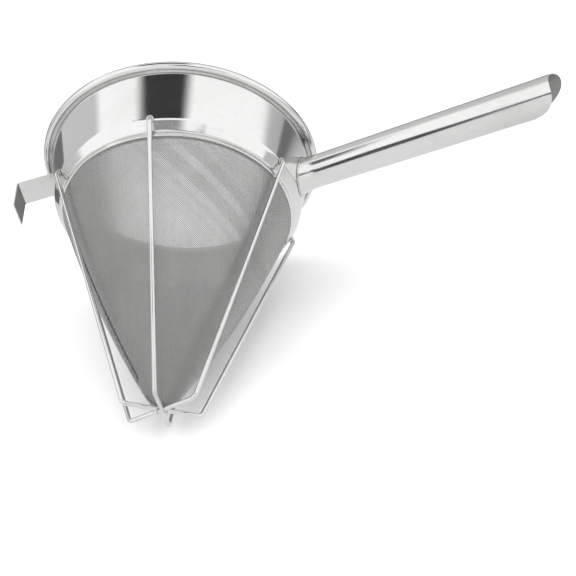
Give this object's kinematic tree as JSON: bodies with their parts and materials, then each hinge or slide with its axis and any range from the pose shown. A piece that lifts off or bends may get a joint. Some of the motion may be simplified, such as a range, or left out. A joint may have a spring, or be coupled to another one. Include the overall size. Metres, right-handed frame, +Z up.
{
  "type": "chinois strainer",
  "caption": "Conical fine mesh strainer with a rolled steel band, a wire guard cage, a hollow tapered handle and a pot hook",
  "frame": {"origin": "lowest point of the crossing of the guard wires, on the cone's axis", "axes": "+Z up the cone's axis to the mouth, +X towards the handle, -Y towards the front leg"},
  "size_m": [0.4072, 0.204, 0.2662],
  "materials": {
    "polished_band": "mirror polished stainless steel",
    "wire_steel": "bright drawn stainless wire",
    "woven_cloth": "fine woven stainless cloth",
    "handle_steel": "polished stainless tube",
    "hook_steel": "satin stainless strip",
    "weld_metal": "polished weld"
  },
  "bodies": {
    "root": {"rim_band": "polished_band", "rim_wire": "wire_steel", "mesh_clamp_ring": "polished_band", "mesh_cone": "woven_cloth", "mesh_seam": "woven_cloth", "guard_wire_front_back": "wire_steel", "guard_wire_right_front": "wire_steel", "guard_wire_left_front": "wire_steel", "star_weld": "weld_metal", "handle_tube": "handle_steel", "handle_neck": "handle_steel", "handle_weld": "weld_metal", "pot_hook": "hook_steel", "hook_spot_weld_front": "weld_metal", "hook_spot_weld_back": "weld_metal", "leg_weld_front": "weld_metal", "leg_weld_back": "weld_metal", "leg_weld_right_front": "weld_metal", "leg_weld_left_back": "weld_metal", "leg_weld_left_front": "weld_metal", "leg_weld_right_back": "weld_metal"}
  },
  "joints": []
}
